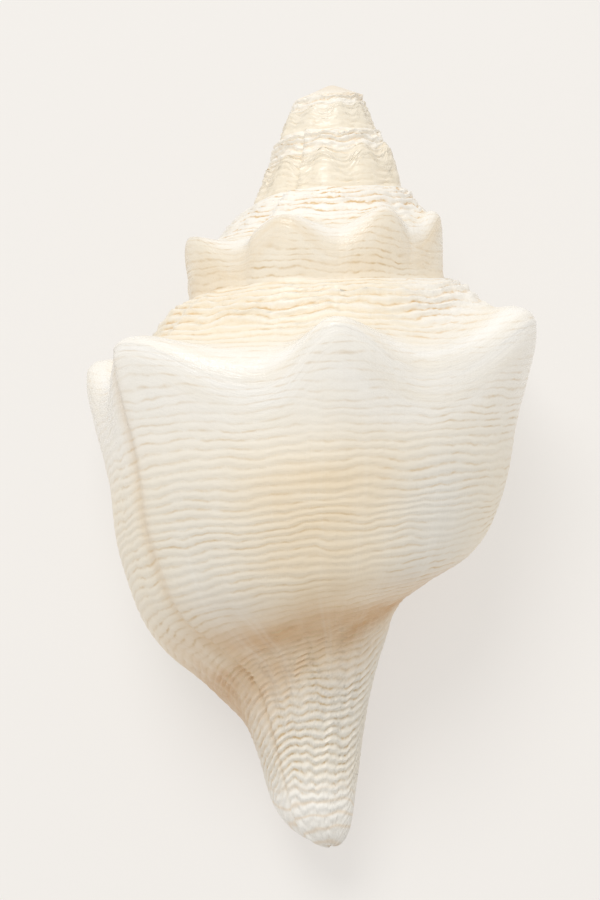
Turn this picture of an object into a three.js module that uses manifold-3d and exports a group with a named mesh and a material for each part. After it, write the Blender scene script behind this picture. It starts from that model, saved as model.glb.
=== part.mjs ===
// A heavy knobbed conch shell, lying on its opening with the spire towards +Y and its back up.
// Millimetres, +Z up, origin under the middle of the shell on the surface that it lies on.
// The shell is one piece: a profile that turns about the axis and grows as it goes, hollowed
// from the lip inwards. It is drawn first in growth coordinates, r from the axis and h from the
// point where the spiral would begin, at an angle of growth in degrees whose 0 faces up.

import * as THREE from 'three';
import { ParametricGeometry } from 'three/addons/geometries/ParametricGeometry.js';
import { mergeGeometries, mergeVertices } from 'three/addons/utils/BufferGeometryUtils.js';
import Module from 'manifold-3d';

// Growth of the spiral
const WHORL = 360;
const WHORL_GROWTH = 1.58;
const WHORLS = 3.75;
const LIP_ANGLE = 130;
const START_ANGLE = LIP_ANGLE - WHORLS * WHORL;
const AXIS_SHEAR = 0.114;
const APEX_HEIGHT = 17;
const TIP_HEIGHT = 256.7;
const TIP_ROUNDING = 16;
const TIP_POWER = 0.45;
const TIP_EASE = 1.6;

// Profile of a whorl at angle 0, as [r, h] from one suture down to the base: once through the
// dip between two knobs, and once over a knob. A station counts the points down the profile.
const DIP = [
  [38.1, 83.3], [46.5, 89.0], [53.0, 96.5], [58.5, 102.5], [62.0, 107.5], [63.6, 113.5],
  [63.4, 121.0], [62.0, 131.6], [60.4, 147.6], [57.2, 160.7], [50.8, 174.2],
];
const KNOB = [
  [38.1, 83.3], [46.5, 88.0], [53.0, 93.0], [60.0, 96.0], [67.0, 95.0], [73.0, 97.0],
  [73.8, 102.5], [65.4, 131.6], [62.2, 147.6], [58.6, 160.7], [51.2, 174.2],
];
const BASE = [[36.8, 184.0], [25.2, 193.6], [18.9, 209.0]];
const ATTACH_STATION = 7;
const BASE_STATION = DIP.length + BASE.length - 1;
const LAST_STATION = 19;
const SUTURE_BLEND = 3;

// The canal below the base tapers to a slim columella
const CANAL = { start: 209, radius: 14.9, core: 4, length: 44, step: 15, stretch: 1.5 };

// Knobs along the shoulder: half widths before and after in degrees, and how far each stands higher
const BODY_KNOBS = [
  { at: 112, before: 13, after: 16, size: 0.95, lift: 4.5 },
  { at: 53, before: 17, after: 13, size: 0.9, lift: 0.5 },
  { at: 0, before: 12, after: 8.5, size: 1.0, lift: 0 },
  { at: -66, before: 19, after: 18, size: 1.0, lift: 0 },
  { at: -124, before: 18, after: 18, size: 1.0, lift: 0 },
  { at: -180, before: 17, after: 17, size: 0.95, lift: 0 },
  { at: -238, before: 15, after: 15, size: 0.95, lift: 0 },
];
const SPIRE_KNOB_ANGLES = [-292, -338, -383, -428, -472, -514, -555, -595];
const SPIRE_KNOB_WIDTH = 12;
const EARLY_KNOBS = 16;
const EARLY_KNOB_STEP = 38;
const EARLY_KNOB_WIDTH = 10;
const EARLY_KNOB_SIZE = 0.8;
const KNOB_LIMIT = 1.2;

// How far the shoulder stands out from the cone of the spire, by angle of growth
const SPIRE_CONE = 0.457;
const SHOULDER = [
  [-1300, 0.1], [-1000, 0.14], [-810, 0.3], [-630, 0.08], [-450, 0.58], [-270, 0.88], [0, 1],
];
const SHOULDER_FADE = 1.5;
const SHOULDER_TILT = 5.5;
const SHOULDER_WAVE = 0.3;
const SPIRE_DROP = 2;
const BODY_FROM = -280;
const BODY_WHOLE = -120;

// Hollow inside
const WALL = 4.8;
const LIP_WALL = 2.2;
const LIP_TAPER = 28;
const CALLUS = 1.1;
const INNER_KNOB = 0.35;
const HOLLOW_OVERRUN = 8;
const HOLLOW_DEPTH = 432;
const CANAL_DEPTH = 150;
const OUTER_STATIONS = { from: 1.35, deep: 11.9, open: 2.7 };
const COLUMELLA_STATIONS = { from: 8, deep: 17.5, open: 0.7 };
const FOLDS = { first: 13.2, step: 1, count: 3, height: 2.4, width: 0.2 };

// How it lies: turned about its own axis, then tipped until three points touch, which are worn flat
const REST_ROLL = 6.6;
const REST_TIP = 10.9;
const WORN = 0.8;

// Fineness of the faceted solid
const ANGLE_STEP = 7.5;
const SPIRE_COLUMNS = 8;
const BODY_COLUMNS = 24;
const HOLLOW_STEP = 10;
const HOLLOW_COLUMNS = 34;
const HOLLOW_SPLIT = 0.38;
const SLOPE_STEP = 0.05;
const MERGE_DISTANCE = 1e-4;

const { smoothstep, lerp, degToRad, clamp } = THREE.MathUtils;
const wasm = await Module();
wasm.setup();

const spline = (points) => new THREE.SplineCurve(points.map(([r, h]) => new THREE.Vector2(r, h)));
const dipCurve = spline([...DIP, ...BASE]);
const knobCurve = spline([...KNOB, ...BASE]);

const spireKnobs = SPIRE_KNOB_ANGLES.map((at) => ({
  at, before: SPIRE_KNOB_WIDTH, after: SPIRE_KNOB_WIDTH, size: 1, lift: 0,
}));
const earlyKnobs = Array.from({ length: EARLY_KNOBS }, (_, i) => ({
  at: SPIRE_KNOB_ANGLES.at(-1) - EARLY_KNOB_STEP * (i + 1),
  before: EARLY_KNOB_WIDTH,
  after: EARLY_KNOB_WIDTH,
  size: EARLY_KNOB_SIZE,
  lift: 0,
}));
const knobs = [...BODY_KNOBS, ...spireKnobs, ...earlyKnobs];

// Sum of the knobs' rounded bumps at an angle of growth, and how far they lift the shoulder there
function knobAt(angle) {
  let size = 0;
  let lift = 0;
  for (const knob of knobs) {
    const away = angle - knob.at;
    const bump = 0.5 ** ((away / (away < 0 ? knob.before : knob.after)) ** 2);
    size += knob.size * bump;
    lift += knob.lift * bump;
  }
  return { size: Math.min(size, KNOB_LIMIT), lift };
}

// Value at x on a line through the [x, y] pairs
function alongLine(pairs, x) {
  const next = pairs.findIndex(([px]) => px >= x);
  if (next === 0) return pairs[0][1];
  if (next < 0) return pairs.at(-1)[1];
  const [[x0, y0], [x1, y1]] = [pairs[next - 1], pairs[next]];
  return lerp(y0, y1, (x - x0) / (x1 - x0));
}

const growth = (angle) => WHORL_GROWTH ** (angle / WHORL);

// Point of the tapering canal at a height, at angle 0
function canalPoint(height) {
  const radius = CANAL.core + CANAL.radius * Math.exp((CANAL.start - height) / CANAL.length);
  return new THREE.Vector2(radius, height);
}

// Profile point [r, h] at a station and an angle of growth, with the knobs at a share of their size
function profile(station, angle, knobShare = 1) {
  if (station > BASE_STATION) {
    const past = station - BASE_STATION;
    const height = CANAL.start + CANAL.step * past + CANAL.stretch * past ** 2;
    return canalPoint(height).multiplyScalar(growth(angle));
  }
  const knob = knobAt(angle);
  const size = knob.size * knobShare;
  const low = dipCurve.getPoint(station / BASE_STATION);
  const high = knobCurve.getPoint(station / BASE_STATION);
  const point = low.lerp(high, size);

  const turn = degToRad(angle);
  const body = smoothstep(angle, BODY_FROM, BODY_WHOLE);
  const tilt = Math.sin(turn) + SHOULDER_WAVE * Math.cos(2 * turn) * body;
  const shift = (SHOULDER_TILT * tilt * (1 + size)) / 2 + SPIRE_DROP * (1 - body) - knob.lift;
  point.y += shift * Math.sin(Math.PI * Math.min(station / ATTACH_STATION, 1));

  const fade = clamp((ATTACH_STATION - station) / SHOULDER_FADE + 1, 0, 1);
  const proud = 1 - (1 - alongLine(SHOULDER, angle)) * fade;
  point.x = lerp(SPIRE_CONE * point.y, point.x, proud);
  return point.multiplyScalar(growth(angle));
}

// Profile point of the outside: its suture lies on the wall of the whorl before, its canal ends rounded
function outside(station, angle) {
  if (station === 0) return profile(ATTACH_STATION, angle - WHORL);
  const size = growth(angle);
  const share = clamp((station - BASE_STATION) / (LAST_STATION - BASE_STATION), 0, 1);
  const height = lerp(size * CANAL.start, TIP_HEIGHT, 1 - (1 - share) ** TIP_EASE);
  const point = share > 0
    ? canalPoint(height / size).multiplyScalar(size)
    : profile(station, angle);
  const blend = 1 - smoothstep(station, 0, SUTURE_BLEND);
  const gap = profile(ATTACH_STATION, angle - WHORL).sub(profile(0, angle));
  point.addScaledVector(gap, blend);

  const over = clamp((point.y - TIP_HEIGHT) / TIP_ROUNDING + 1, 0, 1);
  point.x *= (1 - over ** 3) ** TIP_POWER;
  return point;
}

// Profile point moved sideways off the profile's own line, to the left of growing stations
function offset(station, angle, distance, knobShare) {
  const above = profile(station - SLOPE_STEP, angle, knobShare);
  const along = profile(station + SLOPE_STEP, angle, knobShare).sub(above).normalize();
  const sideways = new THREE.Vector2(-along.y, along.x);
  return profile(station, angle, knobShare).addScaledVector(sideways, distance);
}

// Point in space of a profile point
function place(point, angle, target = new THREE.Vector3()) {
  const turn = degToRad(angle);
  const x = -point.x * Math.sin(turn);
  return target.set(x, -(point.y + AXIS_SHEAR * x), point.x * Math.cos(turn));
}

// Flat patch over an outline of profile points that share one angle of growth
function patch(outline, angle, flip) {
  const faces = THREE.ShapeUtils.triangulateShape(outline, []);
  const geometry = new THREE.BufferGeometry().setFromPoints(outline.map((p) => place(p, angle)));
  geometry.setIndex(faces.flatMap(([a, b, c]) => (flip ? [a, c, b] : [a, b, c])));
  return geometry;
}

// Fan of triangles from a middle point to a closed loop
function fan(middle, loop) {
  const geometry = new THREE.BufferGeometry().setFromPoints([middle, ...loop]);
  geometry.setIndex(loop.flatMap((_, i) => [0, 1 + ((i + 1) % loop.length), 1 + i]));
  return geometry;
}

// Strip of the outside between two stations, over the growth from one angle up to the lip
function strip(fromAngle, fromStation, toStation, columns) {
  const rows = Math.round((LIP_ANGLE - fromAngle) / ANGLE_STEP);
  return new ParametricGeometry((s, t, target) => {
    const angle = lerp(fromAngle, LIP_ANGLE, s);
    return place(outside(lerp(fromStation, toStation, t), angle), angle, target);
  }, rows, columns);
}

// One closed geometry from patches whose edges meet
function closed(patches) {
  for (const geometry of patches) {
    geometry.deleteAttribute('normal');
    geometry.deleteAttribute('uv');
  }
  const geometry = mergeVertices(mergeGeometries(patches), MERGE_DISTANCE);
  const index = Array.from(geometry.index.array);
  const kept = [];
  for (let i = 0; i < index.length; i += 3) {
    const [a, b, c] = index.slice(i, i + 3);
    if (a !== b && b !== c && c !== a) kept.push(a, b, c);
  }
  geometry.setIndex(kept);
  return geometry;
}

// Values from one number to another in equal steps
const evenly = (from, to, steps) => Array.from({ length: steps + 1 }, (_, i) => lerp(from, to, i / steps));

// Outside of the shell, filled: spire, body and canal, the flat across the lip and the apex
function filledShell() {
  const spire = strip(START_ANGLE, 0, ATTACH_STATION, SPIRE_COLUMNS);
  const body = strip(LIP_ANGLE - WHORL, ATTACH_STATION, LAST_STATION, BODY_COLUMNS);

  const ramp = evenly(0, ATTACH_STATION, SPIRE_COLUMNS);
  const wall = evenly(ATTACH_STATION, LAST_STATION, BODY_COLUMNS);
  const lipEdge = [...ramp, ...wall.slice(1)].map((s) => outside(s, LIP_ANGLE));
  const wallEdge = wall.slice(1, -1).map((s) => outside(s, LIP_ANGLE - WHORL));
  const lip = patch([...lipEdge, ...wallEdge.reverse()], LIP_ANGLE, true);

  const firstTurn = evenly(START_ANGLE, START_ANGLE + WHORL, WHORL / ANGLE_STEP);
  const rim = firstTurn.map((angle) => place(outside(0, angle), angle));
  const firstEdge = ramp.slice(1, -1).reverse().map((s) => place(outside(s, START_ANGLE), START_ANGLE));
  const apex = fan(new THREE.Vector3(0, -APEX_HEIGHT, 0), [...rim, ...firstEdge]);
  return closed([spire, body, lip, apex]);
}

// Outline of the hollow at an angle of growth, t going down the outer wall and up the columella
function hollowPoint(t, angle) {
  const open = smoothstep(angle, LIP_ANGLE - CANAL_DEPTH, LIP_ANGLE);
  if (t < HOLLOW_SPLIT) {
    const end = OUTER_STATIONS.deep + OUTER_STATIONS.open * open;
    const station = lerp(OUTER_STATIONS.from, end, t / HOLLOW_SPLIT);
    const thin = smoothstep(angle, LIP_ANGLE - LIP_TAPER, LIP_ANGLE);
    return offset(station, angle, lerp(WALL, LIP_WALL, thin), INNER_KNOB);
  }
  const end = COLUMELLA_STATIONS.deep + COLUMELLA_STATIONS.open * open;
  const station = lerp(end, COLUMELLA_STATIONS.from, (t - HOLLOW_SPLIT) / (1 - HOLLOW_SPLIT));
  let callus = CALLUS;
  for (let i = 0; i < FOLDS.count; i += 1) {
    const away = (station - FOLDS.first - FOLDS.step * i) / FOLDS.width;
    callus += FOLDS.height * Math.exp(-away * away);
  }
  return offset(station, angle - WHORL, -callus, 1);
}

// The hollow, from just outside the lip to most of a whorl behind it
function hollow() {
  const first = LIP_ANGLE - HOLLOW_DEPTH;
  const last = LIP_ANGLE + HOLLOW_OVERRUN;
  const columns = evenly(0, 1, HOLLOW_COLUMNS - 1);
  const outline = (angle) => columns.map((t) => hollowPoint(t, angle));
  const rows = (last - first) / HOLLOW_STEP;
  const side = new ParametricGeometry((s, t, target) => {
    const angle = lerp(first, last, s);
    const column = Math.round(t * HOLLOW_COLUMNS) % HOLLOW_COLUMNS;
    return place(hollowPoint(columns[column], angle), angle, target);
  }, rows, HOLLOW_COLUMNS);
  return closed([side, patch(outline(first), first, false), patch(outline(last), last, true)]);
}

function toSolid(geometry) {
  return new wasm.Manifold(new wasm.Mesh({
    numProp: 3,
    vertProperties: Float32Array.from(geometry.attributes.position.array),
    triVerts: Uint32Array.from(geometry.index.array),
  }));
}

function toGeometry(solid) {
  const mesh = solid.getMesh();
  const geometry = new THREE.BufferGeometry();
  geometry.setAttribute('position', new THREE.BufferAttribute(mesh.vertProperties, 3));
  geometry.setIndex(new THREE.BufferAttribute(mesh.triVerts, 1));
  return geometry;
}

// The hollow shell as it lies, with its lowest points worn to flats at z = 0
function shellGeometry() {
  const lie = new THREE.Matrix4().makeRotationX(degToRad(REST_TIP));
  lie.multiply(new THREE.Matrix4().makeRotationY(degToRad(REST_ROLL)));
  const shell = toSolid(filledShell()).subtract(toSolid(hollow()));
  const lying = toGeometry(shell).applyMatrix4(lie);
  lying.computeBoundingBox();
  const { min, max } = lying.boundingBox;
  lying.translate(-(min.x + max.x) / 2, -(min.y + max.y) / 2, -min.z - WORN);

  const room = 2 * TIP_HEIGHT;
  const above = new THREE.BoxGeometry(room, room, room).translate(0, 0, room / 2);
  return toGeometry(toSolid(lying).intersect(toSolid(closed([above]))));
}

const cream = new THREE.MeshStandardMaterial({ color: 0xeee3d2, roughness: 0.5, metalness: 0 });
const shell = new THREE.Mesh(shellGeometry(), cream);
shell.name = 'shell';

const conch = new THREE.Group();
conch.add(shell);
export default conch;
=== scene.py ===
"""Visual model of a heavy knobbed conch shell that lies on its mouth, seen from above its back.

The shell is one piece that grew by one rule: a profile turns about an axis and swells by the same
share in every whorl. Places on it are given in growth coordinates: an angle of growth in degrees,
whose 0 faces up, and a station that counts down the profile from one suture to the canal's end.
Sizes on the shell are millimetres; meshes are metres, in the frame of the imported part.
"""

import logging
import math
from dataclasses import dataclass, field
from enum import Enum
from typing import Any, Callable, Sequence, Union

import bpy
import numpy as np
from mathutils import Matrix, Vector


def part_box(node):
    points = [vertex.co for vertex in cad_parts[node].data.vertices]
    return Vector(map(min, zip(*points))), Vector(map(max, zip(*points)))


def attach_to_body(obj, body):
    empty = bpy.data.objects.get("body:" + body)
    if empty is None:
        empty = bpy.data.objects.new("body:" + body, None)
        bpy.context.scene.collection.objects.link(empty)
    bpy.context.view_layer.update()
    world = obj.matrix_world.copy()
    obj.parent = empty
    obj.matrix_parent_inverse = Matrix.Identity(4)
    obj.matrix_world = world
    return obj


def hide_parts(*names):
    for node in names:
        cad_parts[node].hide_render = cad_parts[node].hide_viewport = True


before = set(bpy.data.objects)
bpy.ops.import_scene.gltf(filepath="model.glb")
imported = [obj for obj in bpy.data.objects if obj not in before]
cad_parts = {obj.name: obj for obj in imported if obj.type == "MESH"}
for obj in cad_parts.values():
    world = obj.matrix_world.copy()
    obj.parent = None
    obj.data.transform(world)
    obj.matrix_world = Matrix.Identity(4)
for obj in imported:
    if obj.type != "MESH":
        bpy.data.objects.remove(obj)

LOG = logging.getLogger("conch")
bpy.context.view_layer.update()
MILLIMETRE = 0.001
BODY = "root"
NODE = "shell"

Value = Union["Wire", float, int]
Colour = tuple[float, float, float]
Point = tuple[float, float]


def tint(red: int, green: int, blue: int) -> Colour:
    """Linear colour of a tone given as it shows on a screen, 0 to 255.

    Args:
        red: Red of the tone.
        green: Green of the tone.
        blue: Blue of the tone.

    Returns:
        The three linear parts.
    """
    parts = []
    for part in (red, green, blue):
        share = part / 255
        low = share <= 0.04045
        parts.append(share / 12.92 if low else ((share + 0.055) / 1.055) ** 2.4)
    return (parts[0], parts[1], parts[2])


class Op(Enum):
    """Operations of a Math node."""

    ADD = "ADD"
    SUBTRACT = "SUBTRACT"
    MULTIPLY = "MULTIPLY"
    DIVIDE = "DIVIDE"
    POWER = "POWER"
    MINIMUM = "MINIMUM"
    MAXIMUM = "MAXIMUM"
    LESS = "LESS_THAN"
    GREATER = "GREATER_THAN"
    SINE = "SINE"
    COSINE = "COSINE"
    TURN = "ARCTAN2"
    EXPONENT = "EXPONENT"
    ROOT = "SQRT"
    FRACTION = "FRACT"
    PINGPONG = "PINGPONG"


def joined(op: Op, flipped: bool = False) -> Callable[["Wire", Value], "Wire"]:
    """Method of a wire for an operation with another value.

    Args:
        op: The operation.
        flipped: Whether the other value comes first.

    Returns:
        The method.
    """
    def method(self: "Wire", other: Value) -> "Wire":
        """The operation's result."""
        return self.graph.math(op, *((other, self) if flipped else (self, other)))

    return method


def alone(op: Op) -> Callable[["Wire"], "Wire"]:
    """Method of a wire for an operation on it alone.

    Args:
        op: The operation.

    Returns:
        The method.
    """
    def method(self: "Wire") -> "Wire":
        """The operation's result."""
        return self.graph.math(op, self)

    return method


class Wire:
    """An output socket whose arithmetic adds Math nodes to its tree."""

    __add__, __radd__ = joined(Op.ADD), joined(Op.ADD, True)
    __sub__, __rsub__ = joined(Op.SUBTRACT), joined(Op.SUBTRACT, True)
    __mul__, __rmul__ = joined(Op.MULTIPLY), joined(Op.MULTIPLY, True)
    __truediv__, __rtruediv__ = joined(Op.DIVIDE), joined(Op.DIVIDE, True)
    __pow__, __rpow__ = joined(Op.POWER), joined(Op.POWER, True)
    __lt__, __gt__ = joined(Op.LESS), joined(Op.GREATER)
    least, most = joined(Op.MINIMUM), joined(Op.MAXIMUM)
    sin, cos = alone(Op.SINE), alone(Op.COSINE)
    exp, root, fraction = alone(Op.EXPONENT), alone(Op.ROOT), alone(Op.FRACTION)

    def __init__(self, graph: "Graph", socket: bpy.types.NodeSocket) -> None:
        """Wrap a socket of a graph."""
        self.graph = graph
        self.socket = socket

    def other(self, out: int | str) -> "Wire":
        """Another output of the same node."""
        return Wire(self.graph, self.socket.node.outputs[out])

    def __neg__(self) -> "Wire":
        """Opposite value."""
        return self.graph.math(Op.MULTIPLY, self, -1.0)

    def clamp(self) -> "Wire":
        """Value held between 0 and 1."""
        return self.most(0.0).least(1.0)

    def between(self, low: Value, high: Value) -> "Wire":
        """Value between two others, with this as the share of the second."""
        return low + (high - low) * self

    def bump(self, at: Value, width: Value) -> "Wire":
        """Rounded bump of height 1 at a place, half as high a width away."""
        away = (self - at) / width
        return 0.5 ** (away * away)

    def step(self, low: float, high: float) -> "Wire":
        """Smooth step from 0 at one value to 1 at another, either way round.

        Args:
            low: Where the step is 0.
            high: Where the step is 1.

        Returns:
            The share of the step.
        """
        share = ((self - low) / (high - low)).clamp()
        return share * share * (3.0 - 2.0 * share)


class Graph:
    """A node tree that is written as expressions."""

    CURVE_POINTS = "points"

    def __init__(self, tree: bpy.types.NodeTree) -> None:
        """Take over an empty tree."""
        self.tree = tree

    def feed(self, socket: bpy.types.NodeSocket, value: Any) -> None:
        """Link a wire to a socket, or set the socket to a plain value."""
        if isinstance(value, Wire):
            self.tree.links.new(value.socket, socket)
        else:
            socket.default_value = value

    def node(
        self,
        kind: str,
        settings: dict[str, Any] | None = None,
        feeds: dict[int | str, Any] | None = None,
        out: int | str = 0,
    ) -> Wire:
        """Add a node.

        Args:
            kind: Type of the node.
            settings: Properties of the node, set first.
            feeds: Values or wires for its inputs.
            out: Which output to return.

        Returns:
            The wire of that output.
        """
        made = self.tree.nodes.new(kind)
        for name, value in (settings or {}).items():
            if name == self.CURVE_POINTS:
                self.bend(made.mapping, value)
            else:
                setattr(made, name, value)
        for key, value in (feeds or {}).items():
            self.feed(made.inputs[key], value)
        return Wire(self, made.outputs[out])

    @staticmethod
    def bend(mapping: bpy.types.CurveMapping, places: Sequence[Point]) -> None:
        """Lay a curve mapping through places between 0 and 1."""
        line = mapping.curves[0]
        line.points[0].location = places[0]
        line.points[1].location = places[-1]
        for place in places[1:-1]:
            line.points.new(*place)
        mapping.update()

    def math(self, op: Op, *values: Value) -> Wire:
        """Add a Math node for an operation on one or two values."""
        feeds = dict(enumerate(values))
        return self.node("ShaderNodeMath", {"operation": op.value}, feeds)

    def curve(self, at: Wire, points: Sequence[Point]) -> Wire:
        """Value on a smooth line through points.

        Args:
            at: Place along the line.
            points: Pairs of place and value, in order of place; no value is below 0.

        Returns:
            The value there.
        """
        first = points[0][0]
        length = points[-1][0] - first
        top = max(value for _, value in points)
        places = [((place - first) / length, value / top) for place, value in points]
        share = ((at - first) / length).clamp()
        settings = {self.CURVE_POINTS: places}
        return top * self.node("ShaderNodeFloatCurve", settings, {"Value": share})

    def vector(self, x: Value, y: Value, z: Value = 0.0) -> Wire:
        """Vector of three values."""
        return self.node("ShaderNodeCombineXYZ", None, {"X": x, "Y": y, "Z": z})

    def parts(self, vector: Wire) -> tuple[Wire, Wire, Wire]:
        """The three values of a vector."""
        x = self.node("ShaderNodeSeparateXYZ", None, {"Vector": vector})
        return x, x.other(1), x.other(2)

    def noise(self, at: Wire, scale: float, detail: float = 2.0, rough: float = 0.5) -> Wire:
        """Soft noise about 0, mostly between -0.5 and 0.5.

        Args:
            at: Place in the noise.
            scale: Waves per unit.
            detail: How many finer layers are added.
            rough: How strong the finer layers are.

        Returns:
            The noise there.
        """
        feeds = {"Vector": at, "Scale": scale, "Detail": detail, "Roughness": rough}
        return self.node("ShaderNodeTexNoise", {"noise_dimensions": "3D"}, feeds) - 0.5


class GeometryGraph(Graph):
    """A Geometry Nodes tree with named inputs and outputs."""

    FLOAT = "NodeSocketFloat"
    WHOLE = "NodeSocketInt"
    MESH = "NodeSocketGeometry"

    def __init__(self, name: str, takes: dict[str, str], gives: dict[str, str]) -> None:
        """Make a tree.

        Args:
            name: Name of the tree.
            takes: Socket type of each input by name.
            gives: Socket type of each output by name.
        """
        super().__init__(bpy.data.node_groups.new(name, "GeometryNodeTree"))
        interface = self.tree.interface
        for label, kind in takes.items():
            interface.new_socket(label, in_out="INPUT", socket_type=kind)
        for label, kind in gives.items():
            interface.new_socket(label, in_out="OUTPUT", socket_type=kind)
        source = self.tree.nodes.new("NodeGroupInput")
        self.sink = self.tree.nodes.new("NodeGroupOutput")
        self.takes = {label: Wire(self, source.outputs[label]) for label in takes}

    def give(self, **values: Value) -> None:
        """Set the tree's outputs by name."""
        for label, value in values.items():
            self.feed(self.sink.inputs[label], value)

    def call(self, group: "GeometryGraph", *values: Value) -> Wire:
        """Use another tree as a node, with its inputs in order; the first output is returned."""
        feeds = dict(enumerate(values))
        return self.node("GeometryNodeGroup", {"node_tree": group.tree}, feeds)

    def named(self, name: str) -> Wire:
        """Value stored on the points under a name."""
        feeds = {"Name": name}
        return self.node("GeometryNodeInputNamedAttribute", {"data_type": "FLOAT"}, feeds)

    def store(self, mesh: Wire, **values: Value) -> Wire:
        """Store values on a mesh's points by name."""
        settings = {"data_type": "FLOAT", "domain": "POINT"}
        for name, value in values.items():
            feeds = {"Geometry": mesh, "Name": name, "Value": value}
            mesh = self.node("GeometryNodeStoreNamedAttribute", settings, feeds)
        return mesh

    def unwrap(self, mesh: Wire, name: str, across: Wire, down: Wire) -> Wire:
        """Store two values as a mesh's UV map."""
        settings = {"data_type": "FLOAT2", "domain": "CORNER"}
        feeds = {"Geometry": mesh, "Name": name, "Value": self.vector(across, down)}
        return self.node("GeometryNodeStoreNamedAttribute", settings, feeds)

    def move(self, mesh: Wire, place: Wire) -> Wire:
        """Move a mesh's points to places."""
        return self.node("GeometryNodeSetPosition", None, {"Geometry": mesh, "Position": place})

    def sheet(self, across: Value, down: Value) -> tuple[Wire, Wire, Wire]:
        """Flat grid of quads.

        Args:
            across: Steps in its first direction.
            down: Steps in its second direction.

        Returns:
            The grid, and the shares from 0 to 1 of its two directions.
        """
        feeds = {"Vertices X": across + 1, "Vertices Y": down + 1, "Size X": 1.0, "Size Y": 1.0}
        mesh = self.node("GeometryNodeMeshGrid", None, feeds)
        x, y, _ = self.parts(self.node("GeometryNodeInputPosition"))
        return mesh, x + 0.5, y + 0.5


@dataclass(frozen=True)
class Streaks:
    """Noise in growth coordinates: degrees to a wave, waves to a station, its layer and detail."""

    degrees: float
    waves: float
    layer: float
    detail: float = 2.0
    rough: float = 0.5

    def at(self, graph: Graph, angle: Wire, course: Wire) -> Wire:
        """The noise at an angle of growth and a station, about 0."""
        place = graph.vector(angle / self.degrees, course * self.waves, self.layer)
        return graph.noise(place, 1.0, self.detail, self.rough)


@dataclass(frozen=True)
class Knob:
    """A knob on the shoulder: its angle of growth, half widths before and after it, and size."""

    at: float
    before: float
    after: float
    size: float = 1.0
    lift: float = 0.0


@dataclass(frozen=True)
class Spiral:
    """How the shell grows, from its apex to the lip."""

    whorl: float = 360.0
    rate: float = 1.58
    whorls: float = 3.75
    lip: float = 130.0
    shear: float = 0.114
    apex: float = 17.0
    waist_at: float = 54.0
    waist_length: float = 13.0
    waist: float = 0.05
    lean: float = 1.4

    @property
    def start(self) -> float:
        """Angle of growth at the apex."""
        return self.lip - self.whorls * self.whorl

    @property
    def before_lip(self) -> float:
        """Angle of growth a whorl before the lip."""
        return self.lip - self.whorl


@dataclass(frozen=True)
class Profile:
    """Profile of a whorl at angle 0, from its suture to the canal's end, as pairs of r and h."""

    dip: tuple[Point, ...] = (
        (38.1, 83.3), (46.5, 89.0), (53.0, 96.5), (58.5, 102.5), (62.0, 107.5), (63.6, 113.5),
        (63.4, 121.0), (62.0, 131.6), (60.4, 147.6), (57.2, 160.7), (50.8, 174.2),
    )
    knob: tuple[Point, ...] = (
        (38.1, 83.3), (46.5, 88.0), (53.0, 93.0), (60.0, 96.0), (67.0, 95.0), (73.0, 97.0),
        (73.8, 102.5), (65.4, 131.6), (62.2, 147.6), (58.6, 160.7), (51.2, 174.2),
    )
    base: tuple[Point, ...] = ((36.8, 184.0), (25.2, 193.6), (18.9, 209.0))
    attach: float = 7.0
    foot: float = 13.0
    last: float = 19.0
    suture_blend: float = 3.0
    level_from: Point = (0.3, 2.0)
    level_share: float = 0.72
    canal_from: float = 209.0
    canal_radius: float = 14.9
    canal_core: float = 4.0
    canal_length: float = 44.0
    canal_step: float = 15.0
    canal_stretch: float = 1.5
    tip: float = 256.7
    tip_rounding: float = 16.0
    tip_power: float = 0.45
    tip_ease: float = 1.6


@dataclass(frozen=True)
class Shoulder:
    """Knobs of the shoulder, and how far it stands out and tilts along the growth."""

    body: tuple[Knob, ...] = (
        Knob(112, 13, 16, 0.95, 3.8), Knob(53, 17, 13, 0.9, -0.6), Knob(0, 12, 8.5),
        Knob(-66, 19, 18, 1.0, -1.6), Knob(-124, 18, 18), Knob(-180, 17, 17, 0.95), Knob(-238, 15, 15, 0.95),
    )
    spire: tuple[Point, ...] = (
        (-292, -3.4), (-338, -0.5), (-383, 0.0), (-428, -3.0), (-472, 0.0), (-514, 0.0), (-555, 0.0),
        (-595, 0.0),
    )
    spire_width: float = 12.0
    early_from: float = -633.0
    early_step: float = 38.0
    early_width: float = 10.0
    early_size: float = 0.8
    early_fade: float = 19.0
    limit: float = 1.2
    cone: float = 0.457
    proud: tuple[Point, ...] = (
        (-1300, 0.1), (-1000, 0.14), (-810, 0.3), (-630, 0.08), (-450, 0.58), (-270, 0.88), (0, 1),
    )
    fade: float = 1.5
    tilt: float = 5.5
    wave: float = 0.3
    drop: float = 2.0
    body_from: float = -280.0
    body_whole: float = -120.0

    def knobs(self) -> list[Knob]:
        """All knobs but the smallest ones near the apex."""
        width = self.spire_width
        return [*self.body, *(Knob(at, width, width, 1.0, lift) for at, lift in self.spire)]


@dataclass(frozen=True)
class Hollow:
    """The hollow behind the lip: walls, the folds on the columella and how deep it goes."""

    wall: float = 4.8
    lip_wall: float = 1.5
    lip_taper: float = 28.0
    callus: float = 1.1
    inner_knob: float = 0.35
    overrun: float = 8.0
    depth: float = 432.0
    canal_depth: float = 150.0
    outer_from: float = 1.35
    outer_deep: float = 11.9
    outer_open: float = 2.7
    inner_from: float = 8.0
    inner_deep: float = 17.5
    inner_open: float = 0.7
    fold_first: float = 13.2
    fold_step: float = 1.0
    folds: int = 3
    fold_height: float = 2.4
    fold_width: float = 0.2
    split: float = 0.38
    slope_step: float = 0.05
    rows: int = 100
    columns: int = 72


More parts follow.
